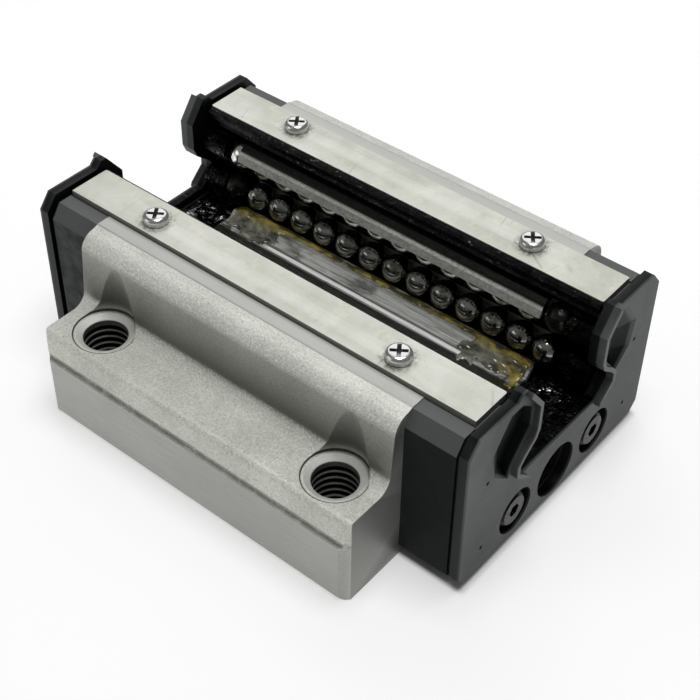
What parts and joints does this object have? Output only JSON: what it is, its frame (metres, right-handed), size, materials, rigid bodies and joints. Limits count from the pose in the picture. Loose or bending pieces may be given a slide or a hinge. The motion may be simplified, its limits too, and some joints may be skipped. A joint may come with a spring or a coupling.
{
  "type": "linear guide carriage",
  "caption": "Flanged recirculating-ball carriage that runs along a profiled rail, shown mounting face down with its rail channel open upwards.",
  "frame": {"origin": "centre of the mounting face, at the bottom of the carriage as it lies upside down", "axes": "+X along the rail, towards the end with the open grease port; +Z away from the mounting face, out of the rail channel"},
  "size_m": [0.083, 0.07, 0.0306],
  "materials": {
    "block_steel": "fine blasted satin, ground on the side and mounting faces",
    "retainer_steel": "bright rolled sheet, oily",
    "plate_steel": "pale satin plated sheet",
    "backing_steel": "blackened sheet",
    "screw_chrome": "bright plated",
    "black_screw": "black oxide",
    "cap_plastic": "moulded charcoal resin",
    "guide_plastic": "moulded black resin",
    "seal_plastic": "matt dark grey moulding",
    "seal_rubber": "oily black rubber",
    "bush_brass": "tarnished",
    "ball_chrome": "polished bearing steel"
  },
  "bodies": {
    "carriage": {"carriage_block": "block_steel", "ball_retainer_centre": "retainer_steel", "ball_retainer_left": "retainer_steel", "ball_retainer_right": "retainer_steel", "side_seal_screws": "screw_chrome", "side_seal_plate_left": "plate_steel", "side_seal_plate_right": "plate_steel", "side_seal_lip_left": "seal_rubber", "side_seal_lip_right": "seal_rubber", "end_cap_front": "cap_plastic", "turn_guides_front": "guide_plastic", "seal_backing_plate_front": "backing_steel", "end_seal_front": "seal_plastic", "end_cap_screws_front": "black_screw", "grease_port_bush_front": "bush_brass", "end_cap_rear": "cap_plastic", "turn_guides_rear": "guide_plastic", "seal_backing_plate_rear": "backing_steel", "end_seal_rear": "seal_plastic", "end_cap_screws_rear": "black_screw", "grease_port_bush_rear": "bush_brass", "grease_port_plug_rear": "black_screw", "return_guide_left_lower": "guide_plastic", "return_guide_left_upper": "guide_plastic", "return_guide_right_lower": "guide_plastic", "return_guide_right_upper": "guide_plastic"},
    "load_row_left_lower": {"load_balls_left_lower": "ball_chrome"},
    "return_row_left_lower": {"return_balls_left_lower": "ball_chrome"},
    "turn_row_left_lower_front": {"turn_balls_left_lower_front": "ball_chrome"},
    "turn_row_left_lower_rear": {"turn_balls_left_lower_rear": "ball_chrome"},
    "load_row_left_upper": {"load_balls_left_upper": "ball_chrome"},
    "return_row_left_upper": {"return_balls_left_upper": "ball_chrome"},
    "turn_row_left_upper_front": {"turn_balls_left_upper_front": "ball_chrome"},
    "turn_row_left_upper_rear": {"turn_balls_left_upper_rear": "ball_chrome"},
    "load_row_right_lower": {"load_balls_right_lower": "ball_chrome"},
    "return_row_right_lower": {"return_balls_right_lower": "ball_chrome"},
    "turn_row_right_lower_front": {"turn_balls_right_lower_front": "ball_chrome"},
    "turn_row_right_lower_rear": {"turn_balls_right_lower_rear": "ball_chrome"},
    "load_row_right_upper": {"load_balls_right_upper": "ball_chrome"},
    "return_row_right_upper": {"return_balls_right_upper": "ball_chrome"},
    "turn_row_right_upper_front": {"turn_balls_right_upper_front": "ball_chrome"},
    "turn_row_right_upper_rear": {"turn_balls_right_upper_rear": "ball_chrome"}
  },
  "joints": [
    {"name": "ball_travel_left_lower", "type": "slide", "parent": "carriage", "child": "load_row_left_lower", "axis": [1, 0, 0], "range_m": [-0.004, 0.0008]},
    {"name": "return_travel_left_lower", "type": "slide", "parent": "carriage", "child": "return_row_left_lower", "axis": [1, 0, 0], "range_m": [-0.0008, 0.004]},
    {"name": "turn_left_lower_front", "type": "hinge", "parent": "carriage", "child": "turn_row_left_lower_front", "pos_m": [0.0312, 0.01437, 0.01415], "axis": [0, 0.4848, 0.8746], "range_deg": [-75.01, 15.01]},
    {"name": "turn_left_lower_rear", "type": "hinge", "parent": "carriage", "child": "turn_row_left_lower_rear", "pos_m": [-0.0312, 0.01437, 0.01415], "axis": [0, -0.4848, -0.8746], "range_deg": [-15.01, 75.01]},
    {"name": "ball_travel_left_upper", "type": "slide", "parent": "carriage", "child": "load_row_left_upper", "axis": [1, 0, 0], "range_m": [-0.0004, 0.0044]},
    {"name": "return_travel_left_upper", "type": "slide", "parent": "carriage", "child": "return_row_left_upper", "axis": [1, 0, 0], "range_m": [-0.0044, 0.0004]},
    {"name": "turn_left_upper_front", "type": "hinge", "parent": "carriage", "child": "turn_row_left_upper_front", "pos_m": [0.0312, 0.01488, 0.02141], "axis": [0, 0.3502, 0.9367], "range_deg": [-7.51, 82.51]},
    {"name": "turn_left_upper_rear", "type": "hinge", "parent": "carriage", "child": "turn_row_left_upper_rear", "pos_m": [-0.0312, 0.01488, 0.02141], "axis": [0, -0.3502, -0.9367], "range_deg": [-82.51, 7.51]},
    {"name": "ball_travel_right_lower", "type": "slide", "parent": "carriage", "child": "load_row_right_lower", "axis": [1, 0, 0], "range_m": [-0.004, 0.0008]},
    {"name": "return_travel_right_lower", "type": "slide", "parent": "carriage", "child": "return_row_right_lower", "axis": [1, 0, 0], "range_m": [-0.0008, 0.004]},
    {"name": "turn_right_lower_front", "type": "hinge", "parent": "carriage", "child": "turn_row_right_lower_front", "pos_m": [0.0312, -0.01437, 0.01415], "axis": [0, 0.4848, -0.8746], "range_deg": [-75.01, 15.01]},
    {"name": "turn_right_lower_rear", "type": "hinge", "parent": "carriage", "child": "turn_row_right_lower_rear", "pos_m": [-0.0312, -0.01437, 0.01415], "axis": [0, -0.4848, 0.8746], "range_deg": [-15.01, 75.01]},
    {"name": "ball_travel_right_upper", "type": "slide", "parent": "carriage", "child": "load_row_right_upper", "axis": [1, 0, 0], "range_m": [-0.0004, 0.0044]},
    {"name": "return_travel_right_upper", "type": "slide", "parent": "carriage", "child": "return_row_right_upper", "axis": [1, 0, 0], "range_m": [-0.0044, 0.0004]},
    {"name": "turn_right_upper_front", "type": "hinge", "parent": "carriage", "child": "turn_row_right_upper_front", "pos_m": [0.0312, -0.01488, 0.02141], "axis": [0, 0.3502, -0.9367], "range_deg": [-7.51, 82.51]},
    {"name": "turn_right_upper_rear", "type": "hinge", "parent": "carriage", "child": "turn_row_right_upper_rear", "pos_m": [-0.0312, -0.01488, 0.02141], "axis": [0, -0.3502, 0.9367], "range_deg": [-82.51, 7.51]}
  ],
  "couplings": [
    {"joint": "return_travel_left_lower", "follows": "ball_travel_left_lower", "ratio": -1},
    {"joint": "turn_left_lower_front", "follows": "ball_travel_left_lower", "rad_per_m": 327.25},
    {"joint": "turn_left_lower_rear", "follows": "ball_travel_left_lower", "rad_per_m": -327.25},
    {"joint": "return_travel_left_upper", "follows": "ball_travel_left_upper", "ratio": -1},
    {"joint": "turn_left_upper_front", "follows": "ball_travel_left_upper", "rad_per_m": 327.25},
    {"joint": "turn_left_upper_rear", "follows": "ball_travel_left_upper", "rad_per_m": -327.25},
    {"joint": "return_travel_right_lower", "follows": "ball_travel_right_lower", "ratio": -1},
    {"joint": "turn_right_lower_front", "follows": "ball_travel_right_lower", "rad_per_m": 327.25},
    {"joint": "turn_right_lower_rear", "follows": "ball_travel_right_lower", "rad_per_m": -327.25},
    {"joint": "return_travel_right_upper", "follows": "ball_travel_right_upper", "ratio": -1},
    {"joint": "turn_right_upper_front", "follows": "ball_travel_right_upper", "rad_per_m": 327.25},
    {"joint": "turn_right_upper_rear", "follows": "ball_travel_right_upper", "rad_per_m": -327.25}
  ]
}
